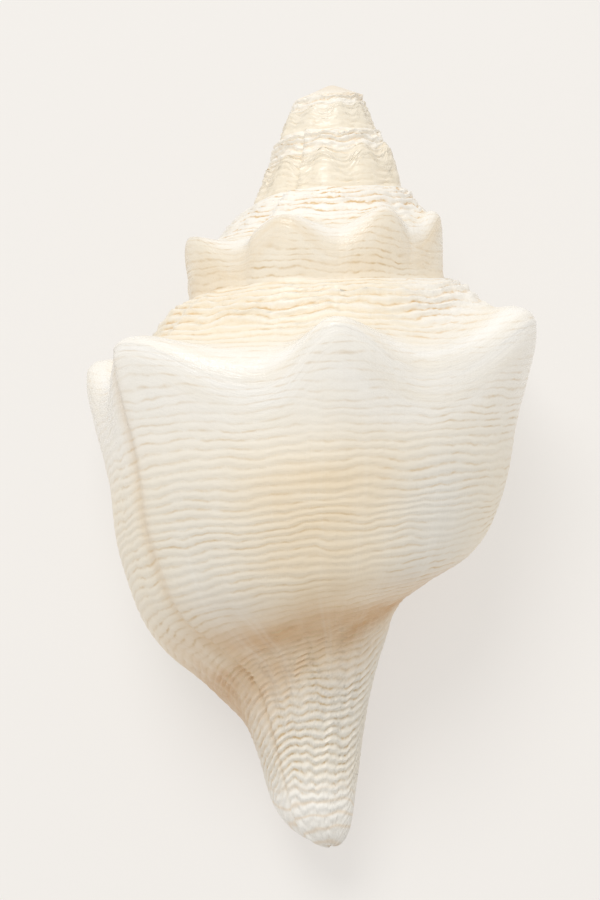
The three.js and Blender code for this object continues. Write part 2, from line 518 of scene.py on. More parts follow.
@dataclass(frozen=True)
class Relief:
    """Sculpture of the outside: cords along the whorl, growth lines across it, lumps and wear.

    The same expressions raise the mesh and tint the material, so they agree at every point.
    """

    counts: tuple[Point, ...] = (
        (0, 0), (2, 6.5), (4, 12), (6, 18), (8, 28.5), (10, 40), (12, 51), (14, 62.5),
        (16, 76.5), (19, 105),
    )
    heights: tuple[Point, ...] = (
        (0, 0.8), (0.4, 1.2), (1.2, 1.1), (2.0, 0.7), (3.0, 0.3), (4.2, 0.1), (5.5, 0.1),
        (6.5, 0.17), (8, 0.22), (9.5, 0.25), (10.6, 0.4), (11.6, 0.65), (13, 0.75), (16, 0.7),
        (19, 0.55),
    )
    crowd_power: float = 1.0
    crowd_from: float = -120.0
    wide_wave: float = 2.0
    fine_wave: float = 0.5
    canal_from: Point = (10.5, 12.0)
    canal_calm: float = 0.55
    fold: float = 0.095
    fold_from: float = -24.0
    fold_width: float = 75.0
    fold_course: Point = (10.0, 14.0)
    rib: float = 1.3
    collar: Point = (0.6, 2.2)
    suture: Point = (-0.15, 0.8)
    small_power: float = 0.8
    spire_from: float = -380.0
    spire_whole: float = -640.0
    spire_cord: float = 1.0
    tip_fade: Point = (4.0, 30.0)
    old_lips: tuple[tuple[float, float], ...] = (
        (57.0, 0.9), (3.5, 0.2), (-88.0, 0.35), (-150.0, 0.4), (-262.0, 0.35), (-324.0, 0.8),
        (-404.0, 0.3), (-690.0, 0.7),
    )
    old_lip_rise: float = 11.0
    old_lip_edge: float = 2.2
    old_lip_fall: float = 9.0
    old_lip_sway: float = 6.0
    growth_line: float = 0.16
    broad_line: float = 1.4
    lump: float = 1.0
    lump_scale: float = 45.0
    lump_rough: float = 0.45
    scale: float = 2.2
    scale_least: float = 0.15
    tip_cord: float = 0.2
    rib_middle: float = 0.4
    lip_back: float = 0.7
    sway_waves: float = 0.7
    sway_layer: float = 11.0
    wide: Streaks = Streaks(16.0, 0.9, 0.0, 1.0)
    fine: Streaks = Streaks(3.6, 2.2, 7.0, 1.0)
    scales: Streaks = Streaks(4.5, 1.8, 3.0)
    fine_lines: Streaks = Streaks(1.6, 0.3, 5.0, 3.0, 0.6)
    broad_lines: Streaks = Streaks(7.0, 0.15, 9.0)

    def spire(self, angle: Wire) -> Wire:
        """Share of the spire's rougher sculpture at an angle of growth."""
        return angle.step(self.spire_from, self.spire_whole)

    def cord(self, graph: Graph, angle: Wire, trace: Wire, rate: float) -> Wire:
        """Cross section of the cords, 0 in a groove and 1 on a crest.

        Args:
            graph: The tree to add to.
            angle: Angle of growth.
            trace: Station that the cords keep to.
            rate: How much the shell grows in a degree, as a base of a power.

        Returns:
            The share of a cord's height.
        """
        crowd = (rate ** (angle - self.crowd_from)).least(1.0) ** self.crowd_power
        wide = self.wide.at(graph, angle, trace)
        fine = self.fine.at(graph, angle, trace)
        count = graph.curve(trace, self.counts) * crowd
        calm = 1.0 - self.canal_calm * trace.step(*self.canal_from)
        count = count + self.wide_wave * wide + self.fine_wave * calm * fine
        fold = (angle - self.fold_from).most(0.0).least(self.fold_width)
        count = count + self.fold * fold * trace.step(*self.fold_course)
        return 0.5 + 0.5 * (2.0 * math.pi * count).cos()

    def height(self, graph: Graph, angle: Wire, course: Wire, rate: float) -> Wire:
        """Height of the cords in millimetres, before wear.

        Args:
            graph: The tree to add to.
            angle: Angle of growth.
            course: Station that the cords follow.
            rate: How much the shell grows in a degree, as a base of a power.

        Returns:
            The height of a crest.
        """
        scaly = 1.0 + self.scale * self.scales.at(graph, angle, course)
        plain = graph.curve(course, self.heights) + self.spire_cord * self.spire(angle)
        small = self.small(angle, rate)
        return plain * scaly.most(self.scale_least) * small * course.step(*self.suture)

    def small(self, angle: Wire, rate: float) -> Wire:
        """Share by which the sculpture is lower on the smaller whorls."""
        return (rate ** angle).least(1.0) ** self.small_power

    def swayed(self, graph: Graph, angle: Wire, course: Wire) -> Wire:
        """Angle of growth along lines that sway as the lip did while it grew."""
        sway = graph.noise(graph.vector(course * self.sway_waves, 0.0, self.sway_layer), 1.0, 3.0)
        return angle + self.old_lip_sway * sway

    def steps(self, swayed: Wire) -> Wire:
        """Low steps that old lips left, in millimetres.

        Args:
            swayed: Angle of growth along swaying lines.

        Returns:
            The height of the steps there.
        """
        total = 0.0 * swayed
        for at, height in self.old_lips:
            edge = at + self.old_lip_edge
            rise = swayed.step(at - self.old_lip_rise, at) * swayed.step(edge, at)
            fall = swayed.step(at, edge) * swayed.step(edge + self.old_lip_fall, edge)
            total = total + height * (rise - self.lip_back * fall)
        return total

    def lines(self, graph: Graph, swayed: Wire, course: Wire) -> Wire:
        """Uneven growth lines across the whorl, about 0."""
        fine = self.fine_lines.at(graph, swayed, course)
        return fine + self.broad_line * self.broad_lines.at(graph, swayed, course)


@dataclass(frozen=True)
class Fineness:
    """How finely the mesh is drawn."""

    whorl_steps: int = 144
    ramp_columns: int = 88
    body_columns: int = 216
    merge: float = 1e-5
    even: int = 2
    sharp_edge: float = 0.9
    cap_columns: int = 12
    least_slope: float = 1e-6


@dataclass
class Conch:
    """The whole shell, grown by one Geometry Nodes tree and laid down on its mouth."""

    spiral: Spiral = field(default_factory=Spiral)
    profile: Profile = field(default_factory=Profile)
    shoulder: Shoulder = field(default_factory=Shoulder)
    hollow: Hollow = field(default_factory=Hollow)
    relief: Relief = field(default_factory=Relief)
    fineness: Fineness = field(default_factory=Fineness)
    roll: float = 6.6
    tip: float = 10.9
    worn: float = 0.8
    name: str = "conch_shell"
    growth_map: str = "growth"
    cord_map: str = "cords"

    def build(self, material: bpy.types.Material) -> tuple[bpy.types.Object, Matrix]:
        """Grow the shell and lay it down.

        Args:
            material: The shell's material.

        Returns:
            The piece, and the matrix that laid it down.
        """
        graph = self.grow(material)
        mesh = bpy.data.meshes.new(self.name)
        piece = bpy.data.objects.new(self.name, mesh)
        bpy.context.scene.collection.objects.link(piece)
        modifier = piece.modifiers.new("growth", "NODES")
        modifier.node_group = graph.tree
        sizes = {
            "Whorl Steps": self.fineness.whorl_steps,
            "Ramp Columns": self.fineness.ramp_columns,
            "Body Columns": self.fineness.body_columns,
            "Wall": self.hollow.wall,
            "Lip Wall": self.hollow.lip_wall,
            "Cord Height": 1.0,
            "Old Lip Height": 1.0,
            "Growth Line Height": self.relief.growth_line,
            "Lump Height": self.relief.lump,
        }
        for socket in graph.tree.interface.items_tree:
            if socket.in_out == "INPUT" and socket.name in sizes:
                modifier[socket.identifier] = sizes[socket.name]
        shape = piece.evaluated_get(bpy.context.evaluated_depsgraph_get())
        grown = bpy.data.meshes.new_from_object(shape)
        piece.modifiers.remove(modifier)
        piece.data = grown
        bpy.data.meshes.remove(mesh)
        return piece, self.lie_down(grown)

    def lie_down(self, mesh: bpy.types.Mesh) -> Matrix:
        """Turn the shell onto its mouth, set it on the floor and wear its lowest points flat.

        Args:
            mesh: The grown mesh, which is changed.

        Returns:
            The matrix that was applied.
        """
        roll = Matrix.Rotation(math.radians(self.roll), 4, "Y")
        lie = Matrix.Rotation(math.radians(self.tip), 4, "X") @ roll
        mesh.transform(lie)
        places = np.empty(len(mesh.vertices) * 3)
        mesh.vertices.foreach_get("co", places)
        places = places.reshape(-1, 3)
        low, high = places.min(axis=0), places.max(axis=0)
        corners = [Vector(corner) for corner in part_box(NODE)]
        middle = (corners[0] + corners[1]) / 2
        shift = Vector((
            middle.x - (low[0] + high[0]) / 2,
            middle.y - (low[1] + high[1]) / 2,
            corners[0].z - low[2] - self.worn * MILLIMETRE,
        ))
        places += np.array(shift)
        places[:, 2] = np.maximum(places[:, 2], corners[0].z)
        mesh.vertices.foreach_set("co", places.ravel())
        mesh.update()
        return Matrix.Translation(shift) @ lie

    def size_at(self, angle: Wire) -> Wire:
        """Size of the shell at an angle of growth, 1 at angle 0."""
        return self.spiral.rate ** (angle / self.spiral.whorl)

    @property
    def degree_rate(self) -> float:
        """Growth in a degree, as the base of a power."""
        return self.spiral.rate ** (1 / self.spiral.whorl)

    def early_knob(self, graph: Graph, angle: Wire) -> Wire:
        """Evenly spaced small knobs near the apex, 1 at the middle of each."""
        early = self.shoulder
        away = graph.math(Op.PINGPONG, angle - early.early_from, early.early_step / 2)
        return away.bump(0.0, early.early_width)

    def knob_group(self) -> GeometryGraph:
        """Tree for the sum of the knobs at an angle, and how far they lift the shoulder."""
        scalar = GeometryGraph.FLOAT
        graph = GeometryGraph("knobs", {"Angle": scalar}, {"Size": scalar, "Lift": scalar})
        angle = graph.takes["Angle"]
        early = self.shoulder
        fade = angle.step(early.early_from + early.early_fade, early.early_from)
        size = early.early_size * self.early_knob(graph, angle) * fade
        lift = 0.0 * angle
        for knob in early.knobs():
            width = (angle < knob.at).between(knob.after, knob.before)
            bump = angle.bump(knob.at, width)
            size = size + knob.size * bump
            if knob.lift:
                lift = lift + knob.lift * bump
        graph.give(Size=size.least(early.limit), Lift=lift)
        return graph

    def canal_radius(self, height: Wire) -> Wire:
        """Radius of the canal at a height, at angle 0."""
        shape = self.profile
        taper = ((shape.canal_from - height) / shape.canal_length).exp()
        return shape.canal_core + shape.canal_radius * taper

    def profile_group(self, knobs: GeometryGraph) -> GeometryGraph:
        """Tree for a profile point at a station and an angle.

        Args:
            knobs: The tree of the knobs.

        Returns:
            The tree, which gives r and h.
        """
        scalar = GeometryGraph.FLOAT
        takes = {"Station": scalar, "Angle": scalar, "Knob Share": scalar}
        graph = GeometryGraph("profile", takes, {"R": scalar, "H": scalar})
        station, angle, share = graph.takes.values()
        shape, shoulder = self.profile, self.shoulder
        bumps = graph.call(knobs, angle)
        size = bumps * share

        lines = []
        for axis in (0, 1):
            low, high = (
                graph.curve(station, [(i, point[axis]) for i, point in enumerate(line + shape.base)])
                for line in (shape.dip, shape.knob)
            )
            lines.append(size.between(low, high))
        r, h = lines

        turn = angle * math.radians(1)
        body = angle.step(shoulder.body_from, shoulder.body_whole)
        tilt = turn.sin() + shoulder.wave * (2.0 * turn).cos() * body
        shift = shoulder.tilt / 2 * tilt * (1.0 + size) + shoulder.drop * (1.0 - body)
        arch = (math.pi * (station / shape.attach).least(1.0)).sin()
        h = h + (shift - bumps.other("Lift")) * arch

        fade = ((shape.attach - station) / shoulder.fade + 1.0).clamp()
        proud = 1.0 - (1.0 - graph.curve(angle, shoulder.proud)) * fade
        r = proud.between(shoulder.cone * h, r)

        past = (station - shape.foot).most(0.0)
        depth = shape.canal_from + past * (shape.canal_step + shape.canal_stretch * past)
        canal = station > shape.foot
        whole = self.size_at(angle)
        graph.give(
            R=whole * canal.between(r, self.canal_radius(depth)),
            H=whole * canal.between(h, depth),
        )
        return graph

    def outside_group(self, profile: GeometryGraph) -> GeometryGraph:
        """Tree for a profile point of the outside, whose suture lies on the whorl before.

        Args:
            profile: The tree of the profile.

        Returns:
            The tree, which gives r, h, the station along the canal, and the station that the cords
            keep to, which runs level across the faces of the knobs.
        """
        scalar = GeometryGraph.FLOAT
        takes = {"Station": scalar, "Angle": scalar}
        graph = GeometryGraph("outside", takes, {
            "R": scalar, "H": scalar, "Course": scalar, "Trace": scalar,
        })
        station, angle = graph.takes.values()
        shape = self.profile
        whole = self.size_at(angle)

        share = ((station - shape.foot) / (shape.last - shape.foot)).clamp()
        ease = 1.0 - (1.0 - share) ** shape.tip_ease
        depth = ease.between(whole * shape.canal_from, shape.tip)
        relative = depth / whole
        canal = share > 0.0
        above = graph.call(profile, station.least(shape.foot), angle, 1.0)
        r = canal.between(above, whole * self.canal_radius(relative))
        h = canal.between(above.other("H"), depth)

        before = graph.call(profile, shape.attach, angle - self.spiral.whorl, 1.0)
        suture = graph.call(profile, 0.0, angle, 1.0)
        blend = 1.0 - station.step(0.0, shape.suture_blend)
        r = r + (before - suture) * blend
        h = h + (before.other("H") - suture.other("H")) * blend

        over = ((h - shape.tip) / shape.tip_rounding + 1.0).clamp()
        r = r * (1.0 - over * over * over).most(0.0) ** shape.tip_power

        half = shape.canal_step / (2 * shape.canal_stretch)
        reach = ((relative - shape.canal_from) / shape.canal_stretch + half * half).most(0.0)
        course = canal.between(station, shape.foot - half + reach.root())
        heights = [(point[1], i) for i, point in enumerate(shape.dip + shape.base)]
        level = graph.curve(above.other("H") / whole, heights)
        trace = (shape.level_share * station.step(*shape.level_from)).between(station, level)
        graph.give(R=r, H=h, Course=course, Trace=canal.between(trace, course))
        return graph

    def place(self, graph: GeometryGraph, r: Wire, h: Wire, angle: Value) -> Wire:
        """Place in space, in metres, of a profile point at an angle of growth.

        Args:
            graph: The tree to add to.
            r: Distance from the axis.
            h: Height down the axis.
            angle: Angle of growth.

        Returns:
            The place as a vector.
        """
        turn = angle * math.radians(1)
        sine = turn.sin() if isinstance(turn, Wire) else math.sin(turn)
        cosine = turn.cos() if isinstance(turn, Wire) else math.cos(turn)
        lean = h.bump(self.spiral.waist_at, self.spiral.waist_length)
        r = r * (1.0 - self.spiral.waist * lean)
        x = (self.spiral.lean * lean - r * sine) * MILLIMETRE
        y = -1.0 * (h * MILLIMETRE + self.spiral.shear * x)
        return graph.vector(x, y, r * cosine * MILLIMETRE)

    def mix(self, graph: GeometryGraph, share: Wire, first: Wire, second: Wire) -> Wire:
        """Vector between two others."""
        settings = {"data_type": "VECTOR", "factor_mode": "UNIFORM"}
        return graph.node("ShaderNodeMix", settings, {0: share, 4: first, 5: second}, 1)

    def strip(self, graph: GeometryGraph, outside: GeometryGraph, rows: Wire, columns: Wire,
              angles: Point, stations: Point) -> Wire:
        """Strip of the outside with its sculpture stored on it.

        Args:
            graph: The tree to add to.
            outside: The tree of the outside's profile.
            rows: Steps along the growth.
            columns: Steps down the profile.
            angles: First and last angle of growth.
            stations: First and last station.

        Returns:
            The strip.
        """
        mesh, along, down = graph.sheet(rows, columns)
        mesh = graph.store(mesh, angle=along.between(*angles), station=down.between(*stations))
        angle, station = graph.named("angle"), graph.named("station")
        point = graph.call(outside, station, angle)
        course = point.other("Course")
        relief = self.sculpture(graph, angle, course, point)
        mesh = graph.store(mesh, course=course, trace=point.other("Trace"), relief=relief)
        mesh = self.unwrap(graph, mesh)
        place = self.place(graph, point, point.other("H"), angle)
        return graph.move(mesh, place)

    def unwrap(self, graph: GeometryGraph, mesh: Wire) -> Wire:
        """Store the growth coordinates and the cords' course as UV maps.

        Args:
            graph: The tree to add to.
            mesh: A patch that holds its angle, course and trace.

        Returns:
            The patch with its maps, in whorls and shares of the stations.
        """
        across = graph.named("angle") / self.spiral.whorl
        last = self.profile.last
        mesh = graph.unwrap(mesh, self.growth_map, across, graph.named("course") / last)
        return graph.unwrap(mesh, self.cord_map, across, graph.named("trace") / last)

    def sculpture(self, graph: GeometryGraph, angle: Wire, course: Wire, point: Wire) -> Wire:
        """Height of the cords, growth lines and old lips.

        Args:
            graph: The tree to add to.
            angle: Angle of growth.
            course: Station that the cords follow.
            point: The outside's profile point.

        Returns:
            The relief in millimetres.
        """
        cut = self.relief
        takes = graph.takes
        end = (self.profile.tip - point.other("H")).step(*cut.tip_fade)
        height = cut.height(graph, angle, course, self.degree_rate) * end.between(cut.tip_cord, 1.0)
        middle = 0.5 * course.step(*cut.collar)
        cords = height * (cut.cord(graph, angle, point.other("Trace"), self.degree_rate) - middle)
        swayed = cut.swayed(graph, angle, course)
        small = cut.small(angle, self.degree_rate)
        lines = cut.lines(graph, swayed, course) * small * (1.0 + cut.spire(angle))
        relief = takes["Cord Height"] * cords + takes["Old Lip Height"] * cut.steps(swayed)
        rib = cut.rib * (self.early_knob(graph, angle) - cut.rib_middle) * cut.spire(angle)
        relief = relief + rib * small * course.step(*cut.suture)
        return relief + takes["Growth Line Height"] * lines

    def lip_face(self, graph: GeometryGraph, outside: GeometryGraph, ramp: Wire, wall: Wire) -> list[Wire]:
        """Flat faces across the lip, between the last edge of growth and the whorl before.

        Args:
            graph: The tree to add to.
            outside: The tree of the outside's profile.
            ramp: Columns of the ramp.
            wall: Columns of the body.

        Returns:
            Two patches.
        """
        lip, attach, last = self.spiral.lip, self.profile.attach, self.profile.last
        start = graph.call(outside, attach, self.spiral.before_lip)
        corner = graph.call(outside, attach, lip)
        patches = []

        mesh, across, down = graph.sheet(ramp, wall)
        station = down.between(attach, last)
        edge = graph.call(outside, station, lip)
        inner = graph.call(outside, station, self.spiral.before_lip)
        r = across.between(edge, inner)
        h = across.between(edge.other("H"), inner.other("H"))
        patches.append((mesh, station, r, h))

        mesh, down, across = graph.sheet(ramp, 1)
        station = down.between(0.0, attach)
        edge = graph.call(outside, station, lip)
        r = across.between(down.between(start, corner), edge)
        line = down.between(start.other("H"), corner.other("H"))
        h = across.between(line, edge.other("H"))
        patches.append((mesh, station, r, h))

        made = []
        for mesh, station, r, h in patches:
            place = self.place(graph, r, h, lip)
            spot = graph.store(mesh, course=station, trace=station)
            spot = self.unwrap(graph, graph.store(spot, angle=lip, relief=0.0))
            made.append(graph.move(spot, place))
        return made

    def apex(self, graph: GeometryGraph, outside: GeometryGraph, steps: Wire, ramp: Wire) -> list[Wire]:
        """Worn cap on the apex.

        Args:
            graph: The tree to add to.
            outside: The tree of the outside's profile.
            steps: Steps in a whorl.
            ramp: Columns of the ramp.

        Returns:
            Two patches that meet in the middle.
        """
        start = self.spiral.start
        middle = graph.vector(0.0, -self.spiral.apex * MILLIMETRE)
        made = []

        mesh, along, inward = graph.sheet(steps, self.fineness.cap_columns)
        angle = along.between(start + self.spiral.whorl, start)
        point = graph.call(outside, 0.0, angle)
        edge = self.place(graph, point, point.other("H"), angle)
        made.append((mesh, inward, edge))

        mesh, down, inward = graph.sheet(ramp, self.fineness.cap_columns)
        point = graph.call(outside, down * self.profile.attach, start)
        edge = self.place(graph, point, point.other("H"), start)
        made.append((mesh, inward, edge))

        patches = []
        for mesh, inward, edge in made:
            place = self.mix(graph, inward, edge, middle)
            spot = self.unwrap(graph, graph.store(mesh, course=0.0, trace=0.0, angle=start, relief=0.0))
            patches.append(graph.move(spot, place))
        return patches

    def hollow_mesh(self, graph: GeometryGraph, profile: GeometryGraph) -> Wire:
        """Closed mesh of the hollow, from outside the lip to most of a whorl behind it.

        Args:
            graph: The tree to add to.
            profile: The tree of the profile.

        Returns:
            The mesh, marked as inside.
        """
        cave = self.hollow
        lip = self.spiral.lip
        settings = {"fill_type": "NGON"}
        feeds = {"Vertices": cave.columns, "Side Segments": cave.rows, "Radius": 1.0, "Depth": 1.0}
        mesh = graph.node("GeometryNodeMeshCylinder", settings, feeds)
        x, y, z = graph.parts(graph.node("GeometryNodeInputPosition"))
        around = (graph.math(Op.TURN, y, x) / (2.0 * math.pi) + 0.5 / cave.columns + 1.0).fraction()
        angle = (0.5 - z).between(lip - cave.depth, lip + cave.overrun)
        mesh = graph.store(mesh, around=around)
        mesh = graph.store(mesh, angle=angle)
        around, angle = graph.named("around"), graph.named("angle")

        outer = around < cave.split
        opening = angle.step(lip - cave.canal_depth, lip)
        down = (around / cave.split).between(cave.outer_from, cave.outer_deep + cave.outer_open * opening)
        up = (around - cave.split) / (1.0 - cave.split)
        up = up.between(cave.inner_deep + cave.inner_open * opening, cave.inner_from)
        station = outer.between(up, down)
        wall = angle.step(lip - cave.lip_taper, lip).between(graph.takes["Wall"], graph.takes["Lip Wall"])
        callus = cave.callus + 0.0 * around
        for fold in range(cave.folds):
            away = (station - cave.fold_first - cave.fold_step * fold) / cave.fold_width
            callus = callus + cave.fold_height * (-(away * away)).exp()
        distance = outer.between(-callus, wall)
        share = outer.between(1.0, cave.inner_knob)
        whorl = angle - (1.0 - outer) * self.spiral.whorl

        point = graph.call(profile, station, whorl, share)
        above = graph.call(profile, station - cave.slope_step, whorl, share)
        below = graph.call(profile, station + cave.slope_step, whorl, share)
        run, fall = below - above, below.other("H") - above.other("H")
        length = (run * run + fall * fall).root().most(self.fineness.least_slope)
        r = point - fall / length * distance
        h = point.other("H") + run / length * distance
        mesh = graph.store(mesh, inside=1.0, relief=0.0, course=station, trace=station)
        mesh = self.unwrap(graph, mesh)
        return graph.move(mesh, self.place(graph, r, h, angle))

    def grow(self, material: bpy.types.Material) -> GeometryGraph:
        """Tree that grows the shell.

        Args:
            material: The shell's material.

        Returns:
            The tree.
        """
        scalar, whole = GeometryGraph.FLOAT, GeometryGraph.WHOLE
        takes = {
            "Whorl Steps": whole, "Ramp Columns": whole, "Body Columns": whole,
            "Wall": scalar, "Lip Wall": scalar, "Cord Height": scalar, "Old Lip Height": scalar,
            "Growth Line Height": scalar, "Lump Height": scalar,
        }
        graph = GeometryGraph("conch shell", takes, {"Shell": GeometryGraph.MESH})
        profile = self.profile_group(self.knob_group())
        outside = self.outside_group(profile)
        steps, ramp, wall = (graph.takes[name] for name in list(takes)[:3])
        spiral, shape = self.spiral, self.profile

        turns = steps * spiral.whorls
        spire = self.strip(graph, outside, turns, ramp, (spiral.start, spiral.lip), (0.0, shape.attach))
        angles = (spiral.before_lip, spiral.lip)
        body = self.strip(graph, outside, steps, wall, angles, (shape.attach, shape.last))
        lip = self.lip_face(graph, outside, ramp, wall)
        patches = [spire, body, *lip, *self.apex(graph, outside, steps, ramp)]

        join = graph.node("GeometryNodeJoinGeometry")
        for patch in patches:
            graph.feed(join.socket.node.inputs[0], patch)
        feeds = {"Geometry": join, "Distance": self.fineness.merge}
        mesh = graph.node("GeometryNodeMergeByDistance", None, feeds)
        mesh = graph.store(mesh, inside=0.0)
        even = graph.node(
            "GeometryNodeBlurAttribute", {"data_type": "FLOAT_VECTOR"},
            {"Value": graph.node("GeometryNodeInputPosition"), "Iterations": self.fineness.even},
        )
        mesh = graph.move(mesh, even)

        place = graph.node("GeometryNodeInputPosition")
        lumps = graph.noise(place, self.relief.lump_scale, 2.0, self.relief.lump_rough)
        rise = (graph.named("relief") + graph.takes["Lump Height"] * lumps) * MILLIMETRE
        normal = graph.node("GeometryNodeInputNormal")
        offset = graph.node("ShaderNodeVectorMath", {"operation": "SCALE"}, {0: normal, "Scale": rise})
        mesh = graph.node("GeometryNodeSetPosition", None, {"Geometry": mesh, "Offset": offset})

        settings = {"operation": "DIFFERENCE", "solver": "MANIFOLD"}
        feeds = {"Mesh 1": mesh, "Mesh 2": self.hollow_mesh(graph, profile)}
        mesh = graph.node("GeometryNodeMeshBoolean", settings, feeds)
        mesh = graph.node("GeometryNodeSetShadeSmooth", {"domain": "FACE"}, {"Geometry": mesh})
        bend = graph.node("GeometryNodeInputMeshEdgeAngle")
        feeds = {"Geometry": mesh, "Selection": bend > self.fineness.sharp_edge, "Shade Smooth": False}
        mesh = graph.node("GeometryNodeSetShadeSmooth", {"domain": "EDGE"}, feeds)
        mesh = graph.node("GeometryNodeRealizeInstances", None, {"Geometry": mesh})
        feeds = {"Geometry": mesh, "Material": material}
        graph.give(Shell=graph.node("GeometryNodeSetMaterial", None, feeds))
        return graph


class ShaderGraph(Graph):
    """A material's node tree that ends in one Principled shader."""

    def __init__(self, material: bpy.types.Material) -> None:
        """Clear a material's tree and give it its shader."""
        material.use_nodes = True
        super().__init__(material.node_tree)
        self.tree.nodes.clear()
        self.shader = self.tree.nodes.new("ShaderNodeBsdfPrincipled")
        sink = self.tree.nodes.new("ShaderNodeOutputMaterial")
        self.tree.links.new(self.shader.outputs[0], sink.inputs["Surface"])

    def blend(self, share: Value, first: Colour | Wire, second: Colour | Wire) -> Wire:
        """Colour between two others.

        Args:
            share: Share of the second.
            first: First colour.
            second: Second colour.

        Returns:
            The mixed colour.
        """
        feeds = {0: share}
        for key, colour in ((6, first), (7, second)):
            feeds[key] = colour if isinstance(colour, Wire) else (*colour, 1.0)
        return self.node("ShaderNodeMix", {"data_type": "RGBA"}, feeds, 2)

    def value(self, name: str) -> Wire:
        """Value stored on the mesh under a name."""
        settings = {"attribute_type": "GEOMETRY", "attribute_name": name}
        return self.node("ShaderNodeAttribute", settings, None, "Fac")

    def dress(self, **values: Any) -> None:
        """Set the shader's sockets by name, with underscores for spaces."""
        for name, value in values.items():
            self.feed(self.shader.inputs[name.replace("_", " ")], value)


@dataclass(frozen=True)
class Patch:
    """A tone on the wall about an angle of growth, with an uneven share."""

    at: float
    width: float
    tone: Colour
    share: Point
    banded: bool = False


def uneven(share: Point, noise: Wire) -> Wire:
    """A plain share, and noise as strong as the pair's second number."""
    return share[0] + share[1] * noise


def span(course: Wire, ends: tuple[Point, Point]) -> Wire:
    """1 along a stretch of the profile, with two soft ends."""
    return course.step(*ends[0]) * course.step(*ends[1])


